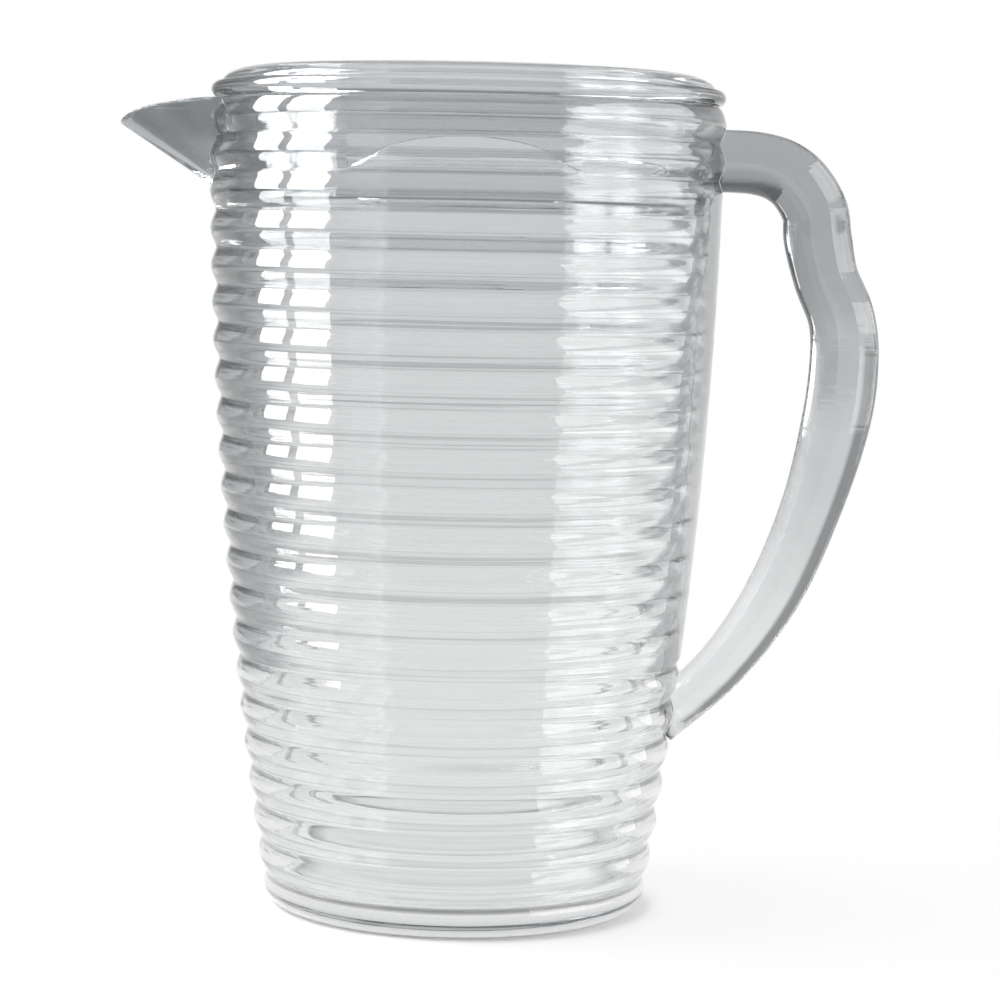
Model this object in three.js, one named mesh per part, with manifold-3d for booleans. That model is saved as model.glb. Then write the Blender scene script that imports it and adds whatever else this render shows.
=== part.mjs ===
// Clear ribbed juice jug: a tapering ribbed body, a beak spout and a loop handle bonded to it,
// and a turning lid that drops into the mouth on a clear seal ring.
// Millimetres, +Z up. The origin is the centre of the flat base, -X is the spout side.

import * as THREE from "three";
import { mergeVertices } from "three/addons/utils/BufferGeometryUtils.js";
import Module from "manifold-3d";

const wasm = await Module();
wasm.setup();

// Driving dimensions of the body
const rimHeight = 214.3;
const rimRadius = 68.6;
const heelHeight = 8.3;
const heelCrestRadius = 52.2;
const ribCount = 21;
const ribPitch = 9.83;
const ribDepth = 1.55;
const wallAtGroove = 2.0;
const floorThickness = 4.5;
const floorCornerRadius = 7.0;
const heelRadius = 5.4;
const heelOverhang = 0.8;

// Smooth panel behind the handle, where the ribs stop: its height, half angle and depth below the crests
const panelTop = 192.7;
const panelBottom = 65.8;
const panelDegrees = 23.0;
const panelDepth = 0.5;

// Driving dimensions of the lid and its seal
const seatGap = 0.3;
const flangeThickness = 4.4;
const flangeRadius = 68.2;
const crownRadius = 65.2;
const crownRise = 4.0;
const crownEase = 11.0;
const lidPlate = 2.2;
const skirtRadius = 63.2;
const skirtThickness = 2.0;
const skirtBottom = 189.2;
const sealThickness = 1.3;
const sealHeight = 2.2;
const sealDrop = 0.5;
const sealLip = 0.3;

// Pour window in the lid's skirt, shut while it faces the front and open when turned to the spout
const windowWidth = 57.0;
const windowTop = 203.4;
const windowSill = 197.2;

// Driving dimensions of the spout
const spoutRootHeight = 191.8;
const spoutTipHeight = 207.6;
const spoutReach = 24.3;
const spoutHalfWidth = 14.6;
const spoutBury = 6.0;
const spoutWallRise = 2.8;
const spoutTopHeight = 214.2;
const lipBendIn = 4.0;
const lipBendDrop = 1.4;
const lipTipOut = 0.6;
const lipTipDrop = 0.4;

// Driving dimensions of the handle: centre line and thickness in the side view
const handleWidth = 15.0;
const handleCentre = [
  { x: 60.0, z: 200.6, thick: 16.6 },
  { x: 77.0, z: 200.2, thick: 16.7 },
  { x: 86.5, z: 196.5, thick: 17.2 },
  { x: 92.4, z: 188.5, thick: 17.6 },
  { x: 93.7, z: 180.3, thick: 18.2 },
  { x: 96.1, z: 170.3, thick: 17.4 },
  { x: 100.6, z: 159.3, thick: 17.8 },
  { x: 101.6, z: 147.3, thick: 18.5 },
  { x: 99.8, z: 131.3, thick: 18.4 },
  { x: 94.1, z: 109.3, thick: 16.4 },
  { x: 84.7, z: 86.0, thick: 15.3 },
  { x: 71.3, z: 66.1, thick: 13.6 },
  { x: 53.8, z: 49.4, thick: 12.2 },
];

// How finely round forms are divided
const aroundSteps = 40;
const ribSteps = 4;
const arcSteps = 4;
const handleStations = 30;
const handleSides = 16;
const spoutSteps = 10;
const boreSteps = 8;

// Bond line of the spout and handle, and how far cutters run past what they cut
const bondGap = 0.3;
const cutClearance = 5.0;
const cutThroughWall = 30.0;

// Sizes that follow from the driving ones
const bodyFlare = (rimRadius - heelCrestRadius) / (rimHeight - heelHeight) ** 2;
const flangeBottom = rimHeight + seatGap;
const flangeTop = flangeBottom + flangeThickness;
const crownTop = flangeTop + crownRise;

// The spout's cone: its lower edge runs on at one slope to a point buried in the body.
const spoutSlope = (spoutTipHeight - spoutRootHeight) / spoutReach;
const coneReach = spoutReach + spoutBury;
const coneRise = coneReach * spoutSlope;
const coneHeight = spoutTipHeight - coneRise;
const coneHalfWidth = spoutHalfWidth * Math.sqrt(coneReach / spoutReach);

// The rib crests follow a long arc that is upright at the rim.
function crestRadius(z) {
  return rimRadius - bodyFlare * (rimHeight - z) ** 2;
}

// Rib surface, with part from 0 at a rib's lower groove to 1 at its upper one.
function ribRadius(z, part) {
  return crestRadius(z) - ribDepth * (2 * part - 1) ** 2;
}

function innerRadius(z) {
  return crestRadius(z) - ribDepth - wallAtGroove;
}

// Points of a circular arc in a profile, angles in degrees from the outward direction.
function arc(centreRadius, centreHeight, radius, fromDegrees, toDegrees, steps = arcSteps) {
  const points = [];
  for (let i = 0; i <= steps; i += 1) {
    const angle = THREE.MathUtils.degToRad(fromDegrees + ((toDegrees - fromDegrees) * i) / steps);
    const r = centreRadius + radius * Math.cos(angle);
    points.push(new THREE.Vector2(r, centreHeight + radius * Math.sin(angle)));
  }
  return points;
}

// A closed solid from any closed geometry, with shared corners merged and empty triangles dropped.
function toSolid(geometry) {
  geometry.deleteAttribute("normal");
  geometry.deleteAttribute("uv");
  const merged = mergeVertices(geometry, 1e-4);
  const index = merged.getIndex().array;
  const triangles = [];
  for (let i = 0; i < index.length; i += 3) {
    const [a, b, c] = [index[i], index[i + 1], index[i + 2]];
    if (a !== b && b !== c && c !== a) triangles.push(a, b, c);
  }
  const vertProperties = new Float32Array(merged.getAttribute("position").array);
  const triVerts = new Uint32Array(triangles);
  return new wasm.Manifold(new wasm.Mesh({ numProp: 3, vertProperties, triVerts }));
}

function toGeometry(solid) {
  const mesh = solid.getMesh();
  const geometry = new THREE.BufferGeometry();
  geometry.setAttribute("position", new THREE.BufferAttribute(mesh.vertProperties, 3));
  geometry.setIndex(new THREE.BufferAttribute(mesh.triVerts, 1));
  geometry.computeVertexNormals();
  return geometry;
}

// Turns a profile of radius and height about the upright axis.
function revolve(profile) {
  const geometry = new THREE.LatheGeometry(profile, aroundSteps);
  geometry.rotateX(Math.PI / 2);
  return toSolid(geometry);
}

// Extrudes a side-view outline (x, z) by a width centred on y = 0.
function extrudeAcross(shape, width) {
  const geometry = new THREE.ExtrudeGeometry(shape, {
    depth: width,
    bevelEnabled: false,
    curveSegments: spoutSteps,
  });
  geometry.rotateX(Math.PI / 2);
  geometry.translate(0, width / 2, 0);
  return toSolid(geometry);
}

// Skins a row of equal rings, each ring turning by the right hand about the way the row runs.
function loft(rings) {
  const sides = rings[0].length;
  const positions = [];
  const index = [];
  for (const ring of rings) {
    for (const point of ring) positions.push(point.x, point.y, point.z);
  }
  for (let i = 0; i + 1 < rings.length; i += 1) {
    for (let j = 0; j < sides; j += 1) {
      const next = (j + 1) % sides;
      const [a, b] = [i * sides + j, i * sides + next];
      index.push(a, b, a + sides, b, b + sides, a + sides);
    }
  }
  for (const [ring, first] of [[rings[0], 0], [rings.at(-1), (rings.length - 1) * sides]]) {
    const centre = new THREE.Vector3();
    for (const point of ring) centre.addScaledVector(point, 1 / sides);
    const hub = positions.length / 3;
    positions.push(centre.x, centre.y, centre.z);
    for (let j = 0; j < sides; j += 1) {
      const next = (j + 1) % sides;
      if (first === 0) index.push(hub, first + next, first + j);
      else index.push(hub, first + j, first + next);
    }
  }
  const geometry = new THREE.BufferGeometry();
  geometry.setAttribute("position", new THREE.Float32BufferAttribute(positions, 3));
  geometry.setIndex(index);
  return toSolid(geometry);
}

// Outside of the body from the base to the rim, which cuts off the top rib, grown by an extra radius.
function outerProfile(grow) {
  const heelCentre = heelCrestRadius - ribDepth + heelOverhang - heelRadius;
  const points = arc(heelCentre, heelRadius, heelRadius + grow, -90, 0);
  for (let rib = 0; rib < ribCount; rib += 1) {
    for (let step = 0; step < ribSteps; step += 1) {
      const part = step / ribSteps;
      const z = heelHeight + (rib + part) * ribPitch;
      points.push(new THREE.Vector2(ribRadius(z, part) + grow, z));
    }
  }
  const cutOff = (rimHeight - heelHeight) / ribPitch - ribCount + 1;
  points.push(new THREE.Vector2(ribRadius(rimHeight, cutOff) + grow, rimHeight));
  return points;
}

// The body's smooth bore, from the rim down to the floor.
function innerProfile() {
  const cornerHeight = floorThickness + floorCornerRadius;
  const points = [];
  for (let i = 0; i < boreSteps; i += 1) {
    const z = rimHeight + ((cornerHeight - rimHeight) * i) / boreSteps;
    points.push(new THREE.Vector2(innerRadius(z), z));
  }
  points.push(...arc(innerRadius(cornerHeight) - floorCornerRadius, cornerHeight, floorCornerRadius, 0, -90));
  return points;
}

// A level ring of points whose radius may change on the way round.
function levelRing(z, radiusAt) {
  const points = [];
  for (let i = 0; i < aroundSteps; i += 1) {
    const angle = (2 * Math.PI * i) / aroundSteps;
    const r = radiusAt(angle);
    points.push(new THREE.Vector3(r * Math.cos(angle), r * Math.sin(angle), z));
  }
  return points;
}

function onPanel(z, angle) {
  const fromHandle = Math.acos(Math.cos(angle));
  return z > panelBottom && z < panelTop && fromHandle < THREE.MathUtils.degToRad(panelDegrees);
}

// Rings up the body's outside: ribs all round, and the smooth panel behind the handle.
function outerRings(grow) {
  return outerProfile(grow).map(({ x: r, y: z }) => {
    const panelRadius = crestRadius(z) - panelDepth + grow;
    return levelRing(z, (angle) => (onPanel(z, angle) ? panelRadius : r));
  });
}

function innerRings() {
  return innerProfile().map(({ x: r, y: z }) => levelRing(z, () => r));
}

// Solid plug of the body's outside, used to seat bonded pieces on the ribs.
function bodyEnvelope(grow) {
  const plugTop = crownTop + cutClearance;
  const rings = outerRings(grow);
  rings.push(rings.at(-1).map(({ x, y }) => new THREE.Vector3(x, y, plugTop)));
  return loft(rings);
}

// The spout is a cone standing on its point: every level is the same parabola, grown with height.
function spoutCone(pointHeight, topHeight, inward) {
  const growth = (topHeight - pointHeight) / coneRise;
  const plan = [];
  plan.push([inward, coneHalfWidth]);
  for (let i = 0; i <= 2 * spoutSteps; i += 1) {
    const across = 1 - i / spoutSteps;
    plan.push([-coneReach * (1 - across ** 2), coneHalfWidth * across]);
  }
  plan.push([inward, -coneHalfWidth]);
  const pointX = spoutBury - crestRadius(spoutRootHeight);
  const point = plan.map(() => new THREE.Vector3(pointX, 0, pointHeight));
  const top = plan.map(([x, y]) => new THREE.Vector3(pointX + x * growth, y * growth, topHeight));
  return loft([point, top]);
}

// The pour channel, which also opens the body's wall behind the spout.
function pourChannel() {
  return spoutCone(coneHeight + spoutWallRise, rimHeight + cutClearance, cutThroughWall);
}

function makeBody() {
  return loft([...outerRings(0), ...innerRings()]).subtract(pourChannel());
}

// Everything below the spout's lip, which falls in a soft curve from the rim to the tip.
function belowLip() {
  const rootX = -crestRadius(spoutRootHeight);
  const tipX = rootX - spoutReach;
  const endX = tipX - lipTipOut;
  const shape = new THREE.Shape();
  shape.moveTo(0, spoutTopHeight);
  shape.lineTo(rootX, spoutTopHeight);
  shape.quadraticCurveTo(
    tipX + lipBendIn,
    spoutTopHeight - lipBendDrop,
    endX,
    spoutTipHeight - lipTipDrop,
  );
  shape.lineTo(endX, 0);
  shape.lineTo(0, 0);
  shape.closePath();
  return extrudeAcross(shape, 4 * spoutHalfWidth);
}

function makeSpout() {
  const outside = spoutCone(coneHeight, rimHeight + cutClearance, cutClearance);
  return outside.intersect(belowLip()).subtract(pourChannel()).subtract(bodyEnvelope(bondGap));
}

// The handle's oval section swept along its centre line, thick where the palm sits.
function makeHandle() {
  const centreLine = new THREE.CatmullRomCurve3(
    handleCentre.map(({ x, z }) => new THREE.Vector3(x, 0, z)),
  );
  const thickness = new THREE.CatmullRomCurve3(
    handleCentre.map(({ thick }, i) => new THREE.Vector3(i, 0, thick)),
  );
  const rings = [];
  for (let i = 0; i <= handleStations; i += 1) {
    const along = i / handleStations;
    const spot = centreLine.getPoint(along);
    const forward = centreLine.getTangent(along);
    const outward = new THREE.Vector3(-forward.z, 0, forward.x);
    const half = thickness.getPoint(along).z / 2;
    const ring = [];
    for (let j = 0; j < handleSides; j += 1) {
      const angle = (2 * Math.PI * j) / handleSides;
      const point = spot.clone().addScaledVector(outward, half * Math.cos(angle));
      point.y = (-handleWidth / 2) * Math.sin(angle);
      ring.push(point);
    }
    rings.push(ring);
  }
  return loft(rings).subtract(bodyEnvelope(bondGap));
}

// Clear ring under the lid's flange that wipes the mouth.
function makeSeal() {
  const inside = skirtRadius + seatGap;
  const outside = inside + sealThickness;
  const top = flangeBottom - sealDrop;
  const bottom = top - sealHeight;
  const profile = [
    new THREE.Vector2(inside, bottom),
    new THREE.Vector2(outside - sealLip, bottom),
    new THREE.Vector2(outside, (top + bottom) / 2),
    new THREE.Vector2(outside - sealLip, top),
    new THREE.Vector2(inside, top),
    new THREE.Vector2(inside, bottom),
  ];
  return revolve(profile);
}

// Cutter for the skirt's window, a circle segment on a level sill, run out from near the axis.
function windowCutter() {
  const half = windowWidth / 2;
  const rise = windowTop - windowSill;
  const radius = (half ** 2 + rise ** 2) / (2 * rise);
  const spread = Math.asin(half / radius);
  const shape = new THREE.Shape();
  shape.absarc(0, windowTop - radius, radius, Math.PI / 2 - spread, Math.PI / 2 + spread, false);
  shape.closePath();
  const geometry = new THREE.ExtrudeGeometry(shape, {
    depth: skirtRadius,
    bevelEnabled: false,
    curveSegments: 4 * arcSteps,
  });
  geometry.rotateX(Math.PI / 2);
  geometry.translate(0, -skirtRadius / 3, 0);
  return toSolid(geometry);
}

function makeLid() {
  const bead = flangeThickness / 2;
  const skirtBore = skirtRadius - skirtThickness;
  const ceiling = crownTop - lidPlate;
  const shoulder = arc(0, 0, 1, 0, 90).map(
    ({ x, y }) => new THREE.Vector2(crownRadius - crownEase * (1 - x), flangeTop + crownRise * y),
  );
  const profile = [
    new THREE.Vector2(0, ceiling),
    ...arc(skirtBore - bead, ceiling - bead, bead, 90, 0),
    new THREE.Vector2(skirtBore, skirtBottom),
    new THREE.Vector2(skirtRadius, skirtBottom),
    new THREE.Vector2(skirtRadius, flangeBottom),
    ...arc(flangeRadius - bead, flangeBottom + bead, bead, -90, 90, 2 * arcSteps),
    ...shoulder,
    new THREE.Vector2(0, crownTop),
  ];
  return revolve(profile).subtract(windowCutter());
}

function clearPlastic() {
  return new THREE.MeshStandardMaterial({
    color: 0xdde3e4,
    roughness: 0.06,
    metalness: 0,
    transparent: true,
    opacity: 0.35,
  });
}

function clearSilicone() {
  return new THREE.MeshStandardMaterial({
    color: 0xe6e8e8,
    roughness: 0.45,
    metalness: 0,
    transparent: true,
    opacity: 0.6,
  });
}

function piece(name, solid, material) {
  const mesh = new THREE.Mesh(toGeometry(solid), material);
  mesh.name = name;
  return mesh;
}

const vessel = new THREE.Group();
vessel.add(piece("jug_body", makeBody(), clearPlastic()));
vessel.add(piece("spout", makeSpout(), clearPlastic()));
vessel.add(piece("handle", makeHandle(), clearPlastic()));

const closure = new THREE.Group();
closure.add(piece("lid_seal", makeSeal(), clearSilicone()));
closure.add(piece("lid", makeLid(), clearPlastic()));

const jug = new THREE.Group();
jug.add(vessel, closure);

export default jug;
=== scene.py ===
import math

import bpy
from mathutils import Matrix, Vector


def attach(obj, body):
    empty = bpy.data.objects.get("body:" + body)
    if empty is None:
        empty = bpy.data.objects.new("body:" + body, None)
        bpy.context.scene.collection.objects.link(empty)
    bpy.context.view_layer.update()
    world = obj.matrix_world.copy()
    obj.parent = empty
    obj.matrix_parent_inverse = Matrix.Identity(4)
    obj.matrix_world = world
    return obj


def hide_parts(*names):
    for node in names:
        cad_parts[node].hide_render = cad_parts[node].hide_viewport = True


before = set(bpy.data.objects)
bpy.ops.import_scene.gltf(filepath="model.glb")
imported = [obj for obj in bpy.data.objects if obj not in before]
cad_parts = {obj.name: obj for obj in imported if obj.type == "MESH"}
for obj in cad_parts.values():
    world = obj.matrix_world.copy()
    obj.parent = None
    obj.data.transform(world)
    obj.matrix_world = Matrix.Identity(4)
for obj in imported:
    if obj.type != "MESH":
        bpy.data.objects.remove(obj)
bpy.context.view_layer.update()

# Sizes of the jug are in millimetres and become metres when a mesh is made.
MM = 0.001

# Body; the heel's and the rim's rounds end and start at degrees above level
RIM_HEIGHT = 214.3
RIM_RADIUS = 68.6
HEEL_HEIGHT = 8.3
HEEL_CREST_RADIUS = 52.2
RIB_COUNT = 21
RIB_PITCH = 9.83
RIB_DEPTH = 1.55
GROOVE_ROUND = 0.2
WALL_AT_GROOVE = 2.0
FLOOR_THICKNESS = 4.5
FLOOR_CORNER = 7.0
HEEL_ROUND = 5.4
HEEL_ROUND_END = 10.0
HEEL_OVERHANG = 0.8
RIM_ROUND = 0.5
RIM_ROUND_START = 45.0
BOND_GAP = 0.12
CUT_CLEARANCE = 20.0
CUT_THROUGH_WALL = 30.0

# Smooth panel behind the handle, into which the ribs fade; angles are degrees from the handle
PANEL_TOP = 192.7
PANEL_BOTTOM = 65.8
PANEL_DEPTH = 0.5
PANEL_FADE_CENTRE = 29.0
PANEL_FADE_DEGREES = 34.0
PANEL_FADE_HEIGHT = 3.0

# Lid and seal; the skirt's cutter is given in shares of the skirt's radius
SEAT_GAP = 0.3
FLANGE_THICKNESS = 4.4
FLANGE_RADIUS = 68.2
CROWN_RADIUS = 65.2
CROWN_RISE = 4.0
CROWN_EASE = 11.0
LID_PLATE = 2.2
SKIRT_RADIUS = 63.2
SKIRT_THICKNESS = 2.0
SKIRT_BOTTOM = 189.2
SKIRT_ROUND = 0.5
SKIRT_CUT_OUTSIDE = 1.2
SKIRT_CUT_INSIDE = 0.4
SEAL_THICKNESS = 1.3
SEAL_HEIGHT = 2.2
SEAL_DROP = 0.5
SEAL_LIP = 0.3
WINDOW_WIDTH = 57.0
WINDOW_TOP = 203.4
WINDOW_SILL = 197.2

# Spout
SPOUT_ROOT_HEIGHT = 191.8
SPOUT_TIP_HEIGHT = 207.6
SPOUT_REACH = 24.3
SPOUT_HALF_WIDTH = 14.6
SPOUT_BURY = 6.0
SPOUT_WALL_RISE = 2.8
SPOUT_TOP_HEIGHT = 214.2
LIP_BEND_IN = 4.0
LIP_BEND_DROP = 1.4
LIP_TIP_OUT = 0.6
LIP_TIP_DROP = 0.4
LIP_ROUND_OUTSIDE = 1.2
LIP_ROUND_INSIDE = 0.9

# Handle: centre line (x, z) and thickness in the side view
HANDLE_WIDTH = 15.0
HANDLE_CENTRE = [
    (60.0, 200.6, 16.6),
    (77.0, 200.2, 16.7),
    (86.5, 196.5, 17.2),
    (92.4, 188.5, 17.6),
    (93.7, 180.3, 18.2),
    (96.1, 170.3, 17.4),
    (100.6, 159.3, 17.8),
    (101.6, 147.3, 18.5),
    (99.8, 131.3, 18.4),
    (94.1, 109.3, 16.4),
    (84.7, 86.0, 15.3),
    (71.3, 66.1, 13.6),
    (53.8, 49.4, 12.2),
]

# How finely the shown meshes are divided
AROUND = 192
RIB_STEPS = 14
ARC_STEPS = 10
LONG_ARC_STEPS = 20
SKIRT_ROUND_STEPS = 5
RIM_OUTSIDE_STEPS = 4
RIM_INSIDE_STEPS = 5
WINDOW_STEPS = 40
BORE_STEPS = 40
HANDLE_STATIONS = 240
HANDLE_SIDES = 72
SPOUT_COLUMNS = 160
SPOUT_ROWS = 12
ROUND_STEPS = 8
LIP_SEARCH_STEPS = 40
SHARP_DEGREES = 32.0

# Share of the handle over which its slope is read, and the radius below which a point is on the axis
HANDLE_SLOPE_STEP = 0.001
ON_AXIS = 1e-6

# Tints of the clear plastics, as (height, tint) stops. On the body, lid, handle and spout this grey is
# painted shade, darker towards the top on the body, handle and spout.
BODY_PAINTED_SHADE = [(70.0, (0.88, 0.887, 0.89)), (130.0, (0.835, 0.842, 0.847)), (190.0, (0.786, 0.794, 0.801))]
LID_PAINTED_SHADE = [(190.0, (0.855, 0.865, 0.875)), (215.0, (0.88, 0.89, 0.90))]
HANDLE_PAINTED_SHADE = [(66.0, (0.90, 0.905, 0.91)), (126.0, (0.67, 0.682, 0.69)), (176.0, (0.45, 0.464, 0.475))]
SPOUT_PAINTED_SHADE = [(184.0, (0.55, 0.568, 0.58)), (216.0, (0.38, 0.40, 0.413))]
SILICONE_TINTS = [(200.0, (0.84, 0.85, 0.855)), (215.0, (0.86, 0.87, 0.875))]

# Painted shade: a greyer tint where the body turns to the spout (-1) and to the handle (1), and the degrees
# from there within which it is whole and beyond which there is none of it
SIDE_SHADES = [
    (-1.0, (22.0, 42.0), (0.5, 0.514, 0.522)),
    (1.0, (14.0, 25.0), (0.42, 0.434, 0.442)),
]

# Finish of the plastics: how strongly they take light per metre, roughness, refraction, the height of
# the flow marks in metres, and how far clouding moves the tint, as a share of the jug's height
BODY_FINISH = {"density": 14.0, "roughness": 0.015, "ior": 1.49, "waves": 0.00007, "clouding": 0.04}
LID_FINISH = {"density": 25.0, "roughness": 0.015, "ior": 1.49, "waves": 0.00007, "clouding": 0.04}
HANDLE_FINISH = {"density": 20.0, "roughness": 0.05, "ior": 1.49, "waves": 0.0008, "clouding": 0.25}
SPOUT_FINISH = {"density": 5.0, "roughness": 0.015, "ior": 1.49, "waves": 0.0005, "clouding": 0.5}
SILICONE_FINISH = {"density": 60.0, "roughness": 0.35, "ior": 1.41, "waves": 0.00007, "clouding": 0.04}
PLASTIC_DEPTH = (0.50, 0.515, 0.525)

# Clouding and wear: noise per metre, the noise between which wear grows, and the least of the roughness
CLOUD_SCALE = 60.0
CLOUD_DETAIL = 3.0
WEAR_RANGE = (0.35, 0.75)
WEAR_LEAST = 0.4

# Broad flow marks, and fine level streaks left by the mould: noise per metre and height in metres
FLOW_SCALE = 22.0
FLOW_DETAIL = 1.0
STREAK_SCALE = (5.0, 5.0, 420.0)
STREAK_DETAIL = 3.0
STREAK_HEIGHT = 0.00008

# Room: its shade follows the y of a direction, from grey in front to the white backdrop behind the jug.
# Height counts for less in that direction, so that the backdrop stands tall.
BACKDROP = (1.0, 1.0, 1.0)
ROOM = (0.395, 0.404, 0.408)
ROOM_FRONT = (0.30, 0.306, 0.309)
ROOM_STOPS = [(-0.6, ROOM_FRONT), (0.5, ROOM), (0.925, ROOM), (0.977, BACKDROP)]
ROOM_FLATTENING = 0.55

# The room grows dimmer upwards: the z of a direction, and the share of the shade that is left
DUSK_STOPS = [(0.085, 1.0), (0.26, 0.78), (0.5, 0.7)]

# Floor, in metres: plain and white near the jug, passing into the room's shade far off
FLOOR_SIZE = 6.0
FLOOR_COLOUR = (0.86, 0.86, 0.86)
FLOOR_ROUGHNESS = 0.8
FLOOR_FAR_SPAN = 3.0
FLOOR_FAR = [(0.5, 0.0), (1.0, 1.0)]

# How much of the floor's shade is plain white, by distance from the jug's axis; least in a ring under the
# heel, where the pale floor's own shade shows as a painted contact shadow
FLOOR_GLOW_AND_HEEL_SHADOW = [(0.04, 0.95), (0.045, 0.15), (0.0515, 0.15), (0.056, 0.85), (0.15, 0.95), (0.5, 1.0)]

# Window light on the left, in metres: two tall panes whose sides, (y below, y above), lean back as they rise
PANE_X = -0.47
PANE_BOTTOM = 0.21
PANE_TOP = 0.95
PANE_STRENGTH = 13.0
PANES = [((-0.275, -0.125), (-0.098, 0.122)), ((-0.055, 0.165), (0.067, 0.425))]

# Pale cards on the right, in metres: near and far y, strength, and bands of (bottom, top, share of it)
CARD_X = 0.6
CARD_WHOLE = [(0.02, 0.7, 1.0)]
CARD_BANDS = [(0.02, 0.14, 1.0), (0.14, 0.2, 0.25), (0.2, 0.32, 1.0), (0.32, 0.4, 0.25), (0.4, 0.7, 1.0)]
CARDS = [
    (-0.59, -0.08, 4.0, CARD_BANDS),
    (-0.08, 0.35, 2.8, CARD_BANDS),
    (0.35, 2.2, 0.85, CARD_WHOLE),
]

# Camera: place in metres, angles in degrees, lens and sensor in millimetres
CAMERA_PLACE = (0.0104, -0.8515, 0.18265)
CAMERA_PITCH = 4.944
CAMERA_ROLL = 1.155
CAMERA_LENS = 114.61
CAMERA_SENSOR = 36.0
CAMERA_CLIP = 0.01
LIGHT_BOUNCES = 32

# Sizes that follow
BODY_FLARE = (RIM_RADIUS - HEEL_CREST_RADIUS) / (RIM_HEIGHT - HEEL_HEIGHT) ** 2
FLANGE_BOTTOM = RIM_HEIGHT + SEAT_GAP
FLANGE_TOP = FLANGE_BOTTOM + FLANGE_THICKNESS
CROWN_TOP = FLANGE_TOP + CROWN_RISE


def crest_radius(z):
    """Radius of the line that the rib crests touch."""
    return RIM_RADIUS - BODY_FLARE * (RIM_HEIGHT - z) ** 2


SPOUT_ROOT_X = -crest_radius(SPOUT_ROOT_HEIGHT)
SPOUT_TIP_X = SPOUT_ROOT_X - SPOUT_REACH

# The spout's cone: its lower edge runs on at one slope to a point buried in the body.
# A scale of 0 is that point; the lip lies between the start and the end.
CONE_X = SPOUT_ROOT_X + SPOUT_BURY
CONE_REACH = SPOUT_REACH + SPOUT_BURY
CONE_RISE = CONE_REACH * (SPOUT_TIP_HEIGHT - SPOUT_ROOT_HEIGHT) / SPOUT_REACH
CONE_HEIGHT = SPOUT_TIP_HEIGHT - CONE_RISE
CONE_HALF_WIDTH = SPOUT_HALF_WIDTH * math.sqrt(CONE_REACH / SPOUT_REACH)
CONE_START = 0.002
CONE_END = 2.0


def rib_radius(z, part):
    """Rib surface, part 0 at the lower groove and 1 at the upper one; the groove's foot is softened."""
    from_groove = 1.0 - abs(2.0 * part - 1.0)
    eased = math.hypot(from_groove, GROOVE_ROUND) - GROOVE_ROUND
    return crest_radius(z) - RIB_DEPTH * (1.0 - eased) ** 2


def inner_radius(z):
    """Radius of the smooth bore."""
    return crest_radius(z) - RIB_DEPTH - WALL_AT_GROOVE


def arc(centre_r, centre_z, radius, start, end, steps=ARC_STEPS):
    """Points of a circular arc in a profile, angles in degrees from the outward direction."""
    points = []
    for i in range(steps + 1):
        angle = math.radians(start + (end - start) * i / steps)
        points.append((centre_r + radius * math.cos(angle), centre_z + radius * math.sin(angle)))
    return points


# Mesh making

def mesh_object(name, points, faces):
    """An object of points in millimetres."""
    mesh = bpy.data.meshes.new(name)
    mesh.from_pydata([(x * MM, y * MM, z * MM) for x, y, z in points], [], faces)
    mesh.validate()
    piece = bpy.data.objects.new(name, mesh)
    bpy.context.scene.collection.objects.link(piece)
    return piece


def revolve(name, profile, steps=AROUND):
    """Turns a profile of radius and height, running up the outside, about the upright axis."""
    closed = profile[0] == profile[-1]
    outline = profile[:-1] if closed else profile
    points = []
    rows = []
    for r, z in outline:
        if r < ON_AXIS:
            rows.append([len(points)] * steps)
            points.append((0.0, 0.0, z))
            continue
        rows.append(range(len(points), len(points) + steps))
        for i in range(steps):
            angle = 2.0 * math.pi * i / steps
            points.append((r * math.cos(angle), r * math.sin(angle), z))
    faces = []
    row_pairs = list(zip(rows, rows[1:]))
    if closed:
        row_pairs.append((rows[-1], rows[0]))
    for low, high in row_pairs:
        for i in range(steps):
            j = (i + 1) % steps
            corners = [low[i], low[j], high[j], high[i]]
            faces.append([c for k, c in enumerate(corners) if c not in corners[:k]])
    return mesh_object(name, points, faces)


def loft(name, rings):
    """Skins equal rings, each turning by the right hand about the way the row runs, and caps both ends."""
    sides = len(rings[0])
    points = [point for ring in rings for point in ring]
    faces = []
    for i in range(len(rings) - 1):
        for j in range(sides):
            k = (j + 1) % sides
            a, b = i * sides + j, i * sides + k
            faces.append((a, b, b + sides, a + sides))
    last = (len(rings) - 1) * sides
    faces.append(tuple(reversed(range(sides))))
    faces.append(tuple(range(last, last + sides)))
    return mesh_object(name, points, faces)


def cut(piece, cutter):
    """Cuts one closed mesh out of another and removes the cutter."""
    modifier = piece.modifiers.new("cut", "BOOLEAN")
    modifier.operation = "DIFFERENCE"
    modifier.solver = "MANIFOLD"
    modifier.object = cutter
    evaluated = piece.evaluated_get(bpy.context.evaluated_depsgraph_get())
    mesh = bpy.data.meshes.new_from_object(evaluated)
    old = piece.data
    piece.modifiers.clear()
    piece.data = mesh
    bpy.data.meshes.remove(old)
    bpy.data.objects.remove(cutter)
    return piece


def smooth(piece):
    """Smooth shading, with the edges that turn sharply kept crisp."""
    mesh = piece.data
    mesh.shade_smooth()
    mesh.set_sharp_from_angle(angle=math.radians(SHARP_DEGREES))


# Body, spout, handle

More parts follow.
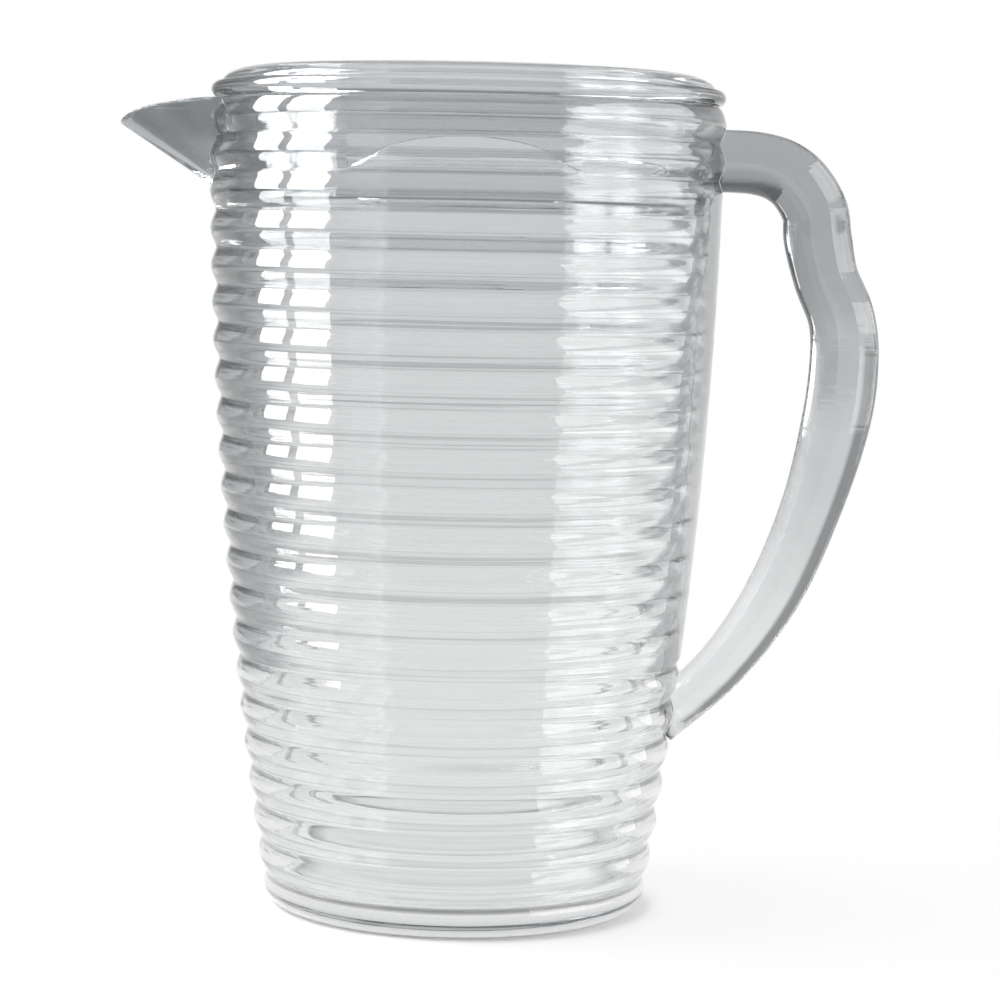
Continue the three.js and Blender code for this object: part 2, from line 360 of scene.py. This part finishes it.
def outer_profile(grow=0.0):
    """The ribbed outside from the base to below the rim, moved outwards by grow."""
    centre = HEEL_CREST_RADIUS - RIB_DEPTH + HEEL_OVERHANG - HEEL_ROUND
    points = arc(centre, HEEL_ROUND, HEEL_ROUND + grow, -90, HEEL_ROUND_END)
    for rib in range(RIB_COUNT):
        for step in range(RIB_STEPS):
            part = 0.5 - 0.5 * math.cos(math.pi * step / RIB_STEPS)
            z = HEEL_HEIGHT + (rib + part) * RIB_PITCH
            if z < RIM_HEIGHT - RIM_ROUND:
                points.append((rib_radius(z, part) + grow, z))
    return points


def rim_outside():
    """Radius of the top rib where the rim cuts it off."""
    return rib_radius(RIM_HEIGHT, (RIM_HEIGHT - HEEL_HEIGHT) / RIB_PITCH - RIB_COUNT + 1)


def inner_profile():
    """The bore, from below the rim down to the floor."""
    corner = FLOOR_THICKNESS + FLOOR_CORNER
    points = []
    for i in range(BORE_STEPS):
        z = RIM_HEIGHT - RIM_ROUND + (corner - RIM_HEIGHT + RIM_ROUND) * i / BORE_STEPS
        points.append((inner_radius(z), z))
    points += arc(inner_radius(corner) - FLOOR_CORNER, corner, FLOOR_CORNER, 0, -90)
    return points


def rim_profile():
    """The rim, rounded on both sides."""
    top = RIM_HEIGHT - RIM_ROUND
    points = arc(rim_outside() - RIM_ROUND, top, RIM_ROUND, RIM_ROUND_START, 90, RIM_OUTSIDE_STEPS)
    points += arc(inner_radius(top) + RIM_ROUND, top, RIM_ROUND, 90, 180, RIM_INSIDE_STEPS)[:-1]
    return points


def ease(part):
    """A soft step from 0 to 1."""
    held = min(max(part, 0.0), 1.0)
    return held * held * (3.0 - 2.0 * held)


def panel_share(z, degrees):
    """How much of the panel, 0 to 1, shows at a height and an angle from the handle."""
    across = ease((PANEL_FADE_CENTRE - degrees) / PANEL_FADE_DEGREES + 0.5)
    upright = ease((z - PANEL_BOTTOM) / PANEL_FADE_HEIGHT) * ease((PANEL_TOP - z) / PANEL_FADE_HEIGHT)
    return across * upright


def level_ring(r, z, panel_radius=None):
    """A level ring of points, drawn to the panel's radius behind the handle where one is given."""
    ring = []
    for i in range(AROUND):
        turn = 360.0 * i / AROUND
        radius = r
        if panel_radius is not None:
            radius += (panel_radius - r) * panel_share(z, min(turn, 360.0 - turn))
        angle = math.radians(turn)
        ring.append((radius * math.cos(angle), radius * math.sin(angle), z))
    return ring


def outer_rings(grow=0.0):
    """Level rings of the outside, with the panel."""
    return [level_ring(r, z, crest_radius(z) - PANEL_DEPTH + grow) for r, z in outer_profile(grow)]


def body_envelope(grow):
    """Plug of the body's outside, to seat the bonded pieces on the ribs."""
    rim = rim_outside() + grow
    rings = outer_rings(grow)
    rings += [level_ring(rim, RIM_HEIGHT), level_ring(rim, RIM_HEIGHT + CUT_CLEARANCE)]
    return loft("envelope", rings)


def cone_point(across, scale, raised):
    """A point of the spout's cone: across -1 to 1 round the nose, scale up from the buried point."""
    x = CONE_X - CONE_REACH * (1.0 - across ** 2) * scale
    return Vector((x, CONE_HALF_WIDTH * across * scale, CONE_HEIGHT + raised + CONE_RISE * scale))


def lip_height(x):
    """The spout's lip, which falls in a soft curve from the rim to the tip."""
    start = Vector((SPOUT_ROOT_X, SPOUT_TOP_HEIGHT))
    bend = Vector((SPOUT_TIP_X + LIP_BEND_IN, SPOUT_TOP_HEIGHT - LIP_BEND_DROP))
    end = Vector((SPOUT_TIP_X - LIP_TIP_OUT, SPOUT_TIP_HEIGHT - LIP_TIP_DROP))
    out = max(start.x - x, 0.0)
    a = start.x - 2.0 * bend.x + end.x
    b = 2.0 * (bend.x - start.x)
    t = (-b - math.sqrt(max(b * b - 4.0 * a * out, 0.0))) / (2.0 * a)
    return start.y * (1 - t) ** 2 + bend.y * 2 * t * (1 - t) + end.y * t ** 2


def lip_scale(across, raised):
    """Where a line of the cone meets the lip, found by halving."""
    low, high = CONE_START, CONE_END
    for _ in range(LIP_SEARCH_STEPS):
        middle = (low + high) / 2
        point = cone_point(across, middle, raised)
        if point.z < lip_height(point.x):
            low = middle
        else:
            high = middle
    return low


def round_corner(before, corner, after, size):
    """A soft curve in place of a corner."""
    start = corner + (before - corner).normalized() * size
    end = corner + (after - corner).normalized() * size
    points = []
    for i in range(ROUND_STEPS + 1):
        t = i / ROUND_STEPS
        points.append(start * (1 - t) ** 2 + corner * (2 * t * (1 - t)) + end * t ** 2)
    return points


def spout_section(across):
    """The beak's wall along one line of the cone: up the outside, over the lip and down the channel."""
    low = cone_point(across, CONE_START, 0.0)
    low_inside = cone_point(across, CONE_START, SPOUT_WALL_RISE)
    lip = cone_point(across, lip_scale(across, 0.0), 0.0)
    lip_inside = cone_point(across, lip_scale(across, SPOUT_WALL_RISE), SPOUT_WALL_RISE)
    rising = [low.lerp(lip, i / SPOUT_ROWS) for i in range(SPOUT_ROWS)]
    falling = [lip_inside.lerp(low_inside, i / SPOUT_ROWS) for i in range(1, SPOUT_ROWS + 1)]
    section = rising + round_corner(low, lip, lip_inside, LIP_ROUND_OUTSIDE)
    section += round_corner(lip, lip_inside, low_inside, LIP_ROUND_INSIDE) + falling
    return [tuple(point) for point in section]


def pour_channel():
    """Cutter for the channel, which also opens the body's wall behind the spout."""
    rings = []
    for scale in (CONE_START, (RIM_HEIGHT + CUT_CLEARANCE - CONE_HEIGHT - SPOUT_WALL_RISE) / CONE_RISE):
        ring = []
        for i in range(SPOUT_COLUMNS + 1):
            ring.append(tuple(cone_point(1.0 - 2.0 * i / SPOUT_COLUMNS, scale, SPOUT_WALL_RISE)))
        back = CONE_X + CUT_THROUGH_WALL * scale
        ring.append((back, ring[-1][1], ring[-1][2]))
        ring.append((back, ring[0][1], ring[0][2]))
        rings.append(ring)
    return loft("pour_channel", rings)


def make_body():
    """The ribbed vessel, open to the spout."""
    inside = [level_ring(r, z) for r, z in rim_profile() + inner_profile()]
    return cut(loft("body_shell", outer_rings() + inside), pour_channel())


def make_spout():
    """The open beak, seated on the ribs."""
    sections = [spout_section(2.0 * i / SPOUT_COLUMNS - 1.0) for i in range(SPOUT_COLUMNS + 1)]
    return cut(loft("spout_beak", sections), body_envelope(BOND_GAP))


def along_points(points, part):
    """A smooth curve through a list of equal-length tuples, part 0 to 1."""
    last = len(points) - 1
    i = min(int(part * last), last - 1)
    t = part * last - i
    before, here = points[max(i - 1, 0)], points[i]
    there, after = points[i + 1], points[min(i + 2, last)]
    spot = []
    for a, b, c, d in zip(before, here, there, after):
        spot.append(
            b + 0.5 * t * (c - a + t * (2 * a - 5 * b + 4 * c - d + t * (3 * (b - c) + d - a)))
        )
    return spot


def make_handle():
    """The oval loop, seated on the body at both roots."""
    rings = []
    for i in range(HANDLE_STATIONS + 1):
        part = i / HANDLE_STATIONS
        x, z, thick = along_points(HANDLE_CENTRE, part)
        x0, z0, _ = along_points(HANDLE_CENTRE, max(part - HANDLE_SLOPE_STEP, 0.0))
        x1, z1, _ = along_points(HANDLE_CENTRE, min(part + HANDLE_SLOPE_STEP, 1.0))
        forward = Vector((x1 - x0, z1 - z0)).normalized()
        ring = []
        for j in range(HANDLE_SIDES):
            angle = 2.0 * math.pi * j / HANDLE_SIDES
            reach = thick / 2 * math.cos(angle)
            ring.append((x - forward.y * reach, -HANDLE_WIDTH / 2 * math.sin(angle), z + forward.x * reach))
        rings.append(ring)
    return cut(loft("handle_loop", rings), body_envelope(BOND_GAP))


# Lid and seal

def window_outline():
    """Segment of a circle on a level sill, as (across, z) seen from the front."""
    half = WINDOW_WIDTH / 2
    rise = WINDOW_TOP - WINDOW_SILL
    radius = (half ** 2 + rise ** 2) / (2 * rise)
    spread = math.degrees(math.asin(half / radius))
    return arc(0.0, WINDOW_TOP - radius, radius, 90 - spread, 90 + spread, WINDOW_STEPS)


def skirt_window():
    """Cutter for the window in the skirt's front."""
    outline = window_outline()
    inside = [(x, -SKIRT_RADIUS * SKIRT_CUT_INSIDE, z) for x, z in outline]
    outside = [(x, -SKIRT_RADIUS * SKIRT_CUT_OUTSIDE, z) for x, z in outline]
    return loft("skirt_window", [inside, outside])


def make_lid():
    """The turned cap with its crown, round flange and deep skirt."""
    bead = FLANGE_THICKNESS / 2
    bore = SKIRT_RADIUS - SKIRT_THICKNESS
    ceiling = CROWN_TOP - LID_PLATE
    foot = SKIRT_BOTTOM + SKIRT_ROUND
    profile = [(0.0, ceiling)]
    profile += arc(bore - bead, ceiling - bead, bead, 90, 0)
    profile += arc(bore + SKIRT_ROUND, foot, SKIRT_ROUND, 180, 270, SKIRT_ROUND_STEPS)
    profile += arc(SKIRT_RADIUS - SKIRT_ROUND, foot, SKIRT_ROUND, 270, 360, SKIRT_ROUND_STEPS)
    profile += [(SKIRT_RADIUS, FLANGE_BOTTOM)]
    profile += arc(FLANGE_RADIUS - bead, FLANGE_BOTTOM + bead, bead, -90, 90, LONG_ARC_STEPS)
    for r, rise in arc(0.0, 0.0, 1.0, 0, 90, LONG_ARC_STEPS):
        profile.append((CROWN_RADIUS - CROWN_EASE * (1.0 - r), FLANGE_TOP + CROWN_RISE * rise))
    profile += [(0.0, CROWN_TOP)]
    return cut(revolve("lid_cap", profile), skirt_window())


def make_seal():
    """The ring between the skirt and the mouth, with a rounded lip."""
    inside = SKIRT_RADIUS + SEAT_GAP
    lip_centre = inside + SEAL_THICKNESS - SEAL_LIP
    half = SEAL_HEIGHT / 2
    top = FLANGE_BOTTOM - SEAL_DROP
    profile = [(inside, top - SEAL_HEIGHT)]
    for out, up in arc(0.0, 0.0, 1.0, -90, 90):
        profile.append((lip_centre + SEAL_LIP * out, top - half + half * up))
    profile += [(inside, top), (inside, top - SEAL_HEIGHT)]
    return revolve("seal_ring", profile)


# Parts of materials

def new_material(name):
    """A material with its nodes and links."""
    material = bpy.data.materials.new(name)
    material.use_nodes = True
    return material, material.node_tree.nodes, material.node_tree.links


def opaque(colour):
    return (*colour, 1.0)


def grey(share):
    return (share, share, share, 1.0)


def coordinates(nodes, kind):
    return nodes.new("ShaderNodeTexCoord").outputs[kind]


def axis(nodes, links, vector, name):
    """One axis of a vector."""
    split = nodes.new("ShaderNodeSeparateXYZ")
    links.new(vector, split.inputs["Vector"])
    return split.outputs[name]


def direction_of(nodes, links, vector, stretch):
    """The direction of a vector that is stretched along each axis."""
    stretched = nodes.new("ShaderNodeVectorMath")
    stretched.operation = "MULTIPLY"
    stretched.inputs[1].default_value = stretch
    links.new(vector, stretched.inputs[0])
    unit = nodes.new("ShaderNodeVectorMath")
    unit.operation = "NORMALIZE"
    links.new(stretched.outputs["Vector"], unit.inputs[0])
    return unit.outputs["Vector"]


def remap(nodes, links, value, span, onto=(0.0, 1.0), interpolation="LINEAR"):
    """A value brought from one span onto another, and held within it."""
    node = nodes.new("ShaderNodeMapRange")
    node.interpolation_type = interpolation
    node.inputs["From Min"].default_value, node.inputs["From Max"].default_value = span
    node.inputs["To Min"].default_value, node.inputs["To Max"].default_value = onto
    links.new(value, node.inputs["Value"])
    return node.outputs["Result"]


def join(nodes, links, operation, first, second):
    """A sum or product of two values, held between 0 and 1."""
    node = nodes.new("ShaderNodeMath")
    node.operation = operation
    node.use_clamp = True
    links.new(first, node.inputs[0])
    links.new(second, node.inputs[1])
    return node.outputs["Value"]


def noise(nodes, links, vector, scale, detail):
    node = nodes.new("ShaderNodeTexNoise")
    node.inputs["Scale"].default_value = scale
    node.inputs["Detail"].default_value = detail
    links.new(vector, node.inputs["Vector"])
    return node.outputs["Fac"]


def relief(nodes, links, height, distance):
    """A bump whose height, in metres, follows a value."""
    node = nodes.new("ShaderNodeBump")
    node.inputs["Strength"].default_value = 1.0
    node.inputs["Distance"].default_value = distance
    links.new(height, node.inputs["Height"])
    return node


def shade_ramp(nodes, links, value, stops):
    """A colour that follows a value, with soft steps between (position, colour) stops."""
    node = nodes.new("ShaderNodeValToRGB")
    ramp = node.color_ramp
    ramp.interpolation = "EASE"
    for i, (position, colour) in enumerate(stops):
        stop = ramp.elements[i] if i < len(ramp.elements) else ramp.elements.new(position)
        stop.position = position
        stop.color = colour
    links.new(value, node.inputs["Fac"])
    return node.outputs["Color"]


# Clear plastics

def clear_material(name, tints_and_shade, density, roughness, ior, waves, clouding):
    """Clear plastic whose tint runs with height and carries painted shade, with a slight clouding, flow
    marks and level streaks.
    """
    material, nodes, links = new_material(name)
    shader = nodes["Principled BSDF"]
    shader.inputs["Transmission Weight"].default_value = 1.0
    shader.inputs["IOR"].default_value = ior
    spot = coordinates(nodes, "Object")
    cloud = noise(nodes, links, spot, CLOUD_SCALE, CLOUD_DETAIL)

    shifted = (-clouding / 2, 1.0 - clouding / 2)
    height = remap(nodes, links, axis(nodes, links, spot, "Z"), (0.0, CROWN_TOP * MM), shifted)
    cloudy = nodes.new("ShaderNodeMath")
    cloudy.operation = "MULTIPLY_ADD"
    cloudy.inputs[1].default_value = clouding
    links.new(cloud, cloudy.inputs[0])
    links.new(height, cloudy.inputs[2])
    stops = [(z / CROWN_TOP, opaque(tint)) for z, tint in tints_and_shade]
    links.new(shade_ramp(nodes, links, cloudy.outputs["Value"], stops), shader.inputs["Base Color"])

    wear = remap(nodes, links, cloud, WEAR_RANGE, (roughness * WEAR_LEAST, roughness))
    links.new(wear, shader.inputs["Roughness"])

    flow = relief(nodes, links, noise(nodes, links, spot, FLOW_SCALE, FLOW_DETAIL), waves)
    stretch = nodes.new("ShaderNodeMapping")
    stretch.inputs["Scale"].default_value = STREAK_SCALE
    links.new(spot, stretch.inputs["Vector"])
    streak = noise(nodes, links, stretch.outputs["Vector"], 1.0, STREAK_DETAIL)
    marks = relief(nodes, links, streak, STREAK_HEIGHT)
    links.new(flow.outputs["Normal"], marks.inputs["Normal"])
    links.new(marks.outputs["Normal"], shader.inputs["Normal"])

    depth = nodes.new("ShaderNodeVolumeAbsorption")
    depth.inputs["Color"].default_value = opaque(PLASTIC_DEPTH)
    depth.inputs["Density"].default_value = density
    links.new(depth.outputs["Volume"], nodes["Material Output"].inputs["Volume"])
    return material


def shade_sides(material):
    """Paints shade into a material's colour above the panel's foot where the body turns to the spout and the
    handle.
    """
    nodes = material.node_tree.nodes
    links = material.node_tree.links
    base = nodes["Principled BSDF"].inputs["Base Color"]
    colour = base.links[0].from_socket
    spot = coordinates(nodes, "Object")
    across = axis(nodes, links, direction_of(nodes, links, spot, (1.0, 1.0, 0.0)), "X")
    foot = ((PANEL_BOTTOM - PANEL_FADE_HEIGHT) * MM, (PANEL_BOTTOM + PANEL_FADE_HEIGHT) * MM)
    above = remap(nodes, links, axis(nodes, links, spot, "Z"), foot, interpolation="SMOOTHSTEP")
    for sign, degrees, tint in SIDE_SHADES:
        whole, none = [sign * math.cos(math.radians(angle)) for angle in degrees]
        side = remap(nodes, links, across, (none, whole), interpolation="SMOOTHSTEP")
        shaded = nodes.new("ShaderNodeMix")
        shaded.data_type = "RGBA"
        shaded.inputs["B"].default_value = opaque(tint)
        links.new(join(nodes, links, "MULTIPLY", side, above), shaded.inputs["Factor"])
        links.new(colour, shaded.inputs["A"])
        colour = shaded.outputs["Result"]
    links.new(colour, base)


# The tints of the body, lid, handle and spout are painted shade that changes with height
body_plastic = clear_material("body_plastic", BODY_PAINTED_SHADE, **BODY_FINISH)
shade_sides(body_plastic)
lid_plastic = clear_material("lid_plastic", LID_PAINTED_SHADE, **LID_FINISH)
handle_plastic = clear_material("handle_plastic", HANDLE_PAINTED_SHADE, **HANDLE_FINISH)
spout_plastic = clear_material("spout_plastic", SPOUT_PAINTED_SHADE, **SPOUT_FINISH)
silicone = clear_material("silicone", SILICONE_TINTS, **SILICONE_FINISH)


# Pieces on their bodies

def place(piece, material, body, node):
    smooth(piece)
    piece.data.materials.clear()
    piece.data.materials.append(material)
    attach(piece, body)
    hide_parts(node)


place(make_body(), body_plastic, "jug", "jug_body")
place(make_spout(), spout_plastic, "jug", "spout")
place(make_handle(), handle_plastic, "jug", "handle")
place(make_seal(), silicone, "seal", "lid_seal")
place(make_lid(), lid_plastic, "lid", "lid")


# Room and floor

def room_shade(nodes, links, direction):
    """The room's colour in a direction."""
    flattened = direction_of(nodes, links, direction, (1.0, 1.0, ROOM_FLATTENING))
    turned = remap(nodes, links, axis(nodes, links, flattened, "Y"), (-1.0, 1.0))
    stops = [((stop + 1.0) / 2, opaque(colour)) for stop, colour in ROOM_STOPS]
    dusk_stops = [(stop, grey(share)) for stop, share in DUSK_STOPS]
    both = nodes.new("ShaderNodeMix")
    both.data_type = "RGBA"
    both.blend_type = "MULTIPLY"
    both.inputs["Factor"].default_value = 1.0
    links.new(shade_ramp(nodes, links, turned, stops), both.inputs["A"])
    links.new(shade_ramp(nodes, links, axis(nodes, links, direction, "Z"), dusk_stops), both.inputs["B"])
    return both.outputs["Result"]


def make_world():
    world = bpy.data.worlds.new("studio")
    bpy.context.scene.world = world
    world.use_nodes = True
    nodes = world.node_tree.nodes
    links = world.node_tree.links
    shade = room_shade(nodes, links, coordinates(nodes, "Generated"))
    links.new(shade, nodes["Background"].inputs["Color"])


def floor_material():
    """Pale and plain where light falls, with a white of its own that the camera, gloss and glass see, held
    back in a ring under the heel as a painted contact shadow.
    """
    material, nodes, links = new_material("floor")
    pale = nodes["Principled BSDF"]
    pale.inputs["Base Color"].default_value = opaque(FLOOR_COLOUR)
    pale.inputs["Roughness"].default_value = FLOOR_ROUGHNESS
    path = nodes.new("ShaderNodeLightPath").outputs
    seen = path["Is Camera Ray"]
    for name in ("Is Glossy Ray", "Is Transmission Ray"):
        seen = join(nodes, links, "ADD", seen, path[name])

    spot = coordinates(nodes, "Object")
    length = nodes.new("ShaderNodeVectorMath")
    length.operation = "LENGTH"
    links.new(spot, length.inputs[0])
    distance = length.outputs["Value"]
    # The glow drops in a ring under the heel: a painted contact shadow
    glow_and_heel_shadow = shade_ramp(nodes, links, distance, [(stop, grey(share)) for stop, share in FLOOR_GLOW_AND_HEEL_SHADOW])
    span = remap(nodes, links, distance, (0.0, FLOOR_FAR_SPAN))
    far = shade_ramp(nodes, links, span, [(stop, grey(share)) for stop, share in FLOOR_FAR])

    tone = nodes.new("ShaderNodeMix")
    tone.data_type = "RGBA"
    tone.inputs["A"].default_value = opaque(BACKDROP)
    links.new(far, tone.inputs["Factor"])
    links.new(room_shade(nodes, links, spot), tone.inputs["B"])
    white = nodes.new("ShaderNodeEmission")
    links.new(tone.outputs["Result"], white.inputs["Color"])
    mix = nodes.new("ShaderNodeMixShader")
    links.new(join(nodes, links, "MULTIPLY", seen, glow_and_heel_shadow), mix.inputs["Fac"])
    links.new(pale.outputs["BSDF"], mix.inputs[1])
    links.new(white.outputs["Emission"], mix.inputs[2])
    links.new(mix.outputs["Shader"], nodes["Material Output"].inputs["Surface"])
    return material


def make_floor():
    half = FLOOR_SIZE / 2 / MM
    corners = [(-half, -half, 0.0), (half, -half, 0.0), (half, half, 0.0), (-half, half, 0.0)]
    floor = mesh_object("floor", corners, [(0, 1, 2, 3)])
    floor.data.materials.append(floor_material())


make_world()
make_floor()


# Window light and cards

def make_pane(name, x, sides, bottom, top, strength):
    """An upright glowing pane across the x axis, hidden from the camera; sides are (y below, y above)."""
    material, nodes, links = new_material(name)
    light = nodes.new("ShaderNodeEmission")
    light.inputs["Strength"].default_value = strength
    links.new(light.outputs["Emission"], nodes["Material Output"].inputs["Surface"])
    (near_low, near_high), (far_low, far_high) = sides
    corners = [(x, near_low, bottom), (x, far_low, bottom), (x, far_high, top), (x, near_high, top)]
    pane = mesh_object(name, [tuple(v / MM for v in corner) for corner in corners], [(0, 1, 2, 3)])
    pane.data.materials.append(material)
    pane.visible_camera = False


for window_sides in PANES:
    make_pane("window_pane", PANE_X, window_sides, PANE_BOTTOM, PANE_TOP, PANE_STRENGTH)
for near, far, card_strength, bands in CARDS:
    for band_bottom, band_top, share in bands:
        upright_sides = ((near, near), (far, far))
        make_pane("pale_card", CARD_X, upright_sides, band_bottom, band_top, share * card_strength)


# Camera and render settings

def make_camera():
    data = bpy.data.cameras.new("camera")
    data.lens = CAMERA_LENS
    data.sensor_width = CAMERA_SENSOR
    data.clip_start = CAMERA_CLIP
    camera = bpy.data.objects.new("camera", data)
    bpy.context.scene.collection.objects.link(camera)
    turn = Matrix.Rotation(math.radians(90.0 - CAMERA_PITCH), 4, "X")
    roll = Matrix.Rotation(math.radians(CAMERA_ROLL), 4, "Z")
    camera.matrix_world = Matrix.Translation(CAMERA_PLACE) @ turn @ roll
    bpy.context.scene.camera = camera


make_camera()

scene = bpy.context.scene
scene.view_settings.view_transform = "Standard"
scene.cycles.max_bounces = LIGHT_BOUNCES
scene.cycles.transmission_bounces = LIGHT_BOUNCES
scene.cycles.glossy_bounces = LIGHT_BOUNCES
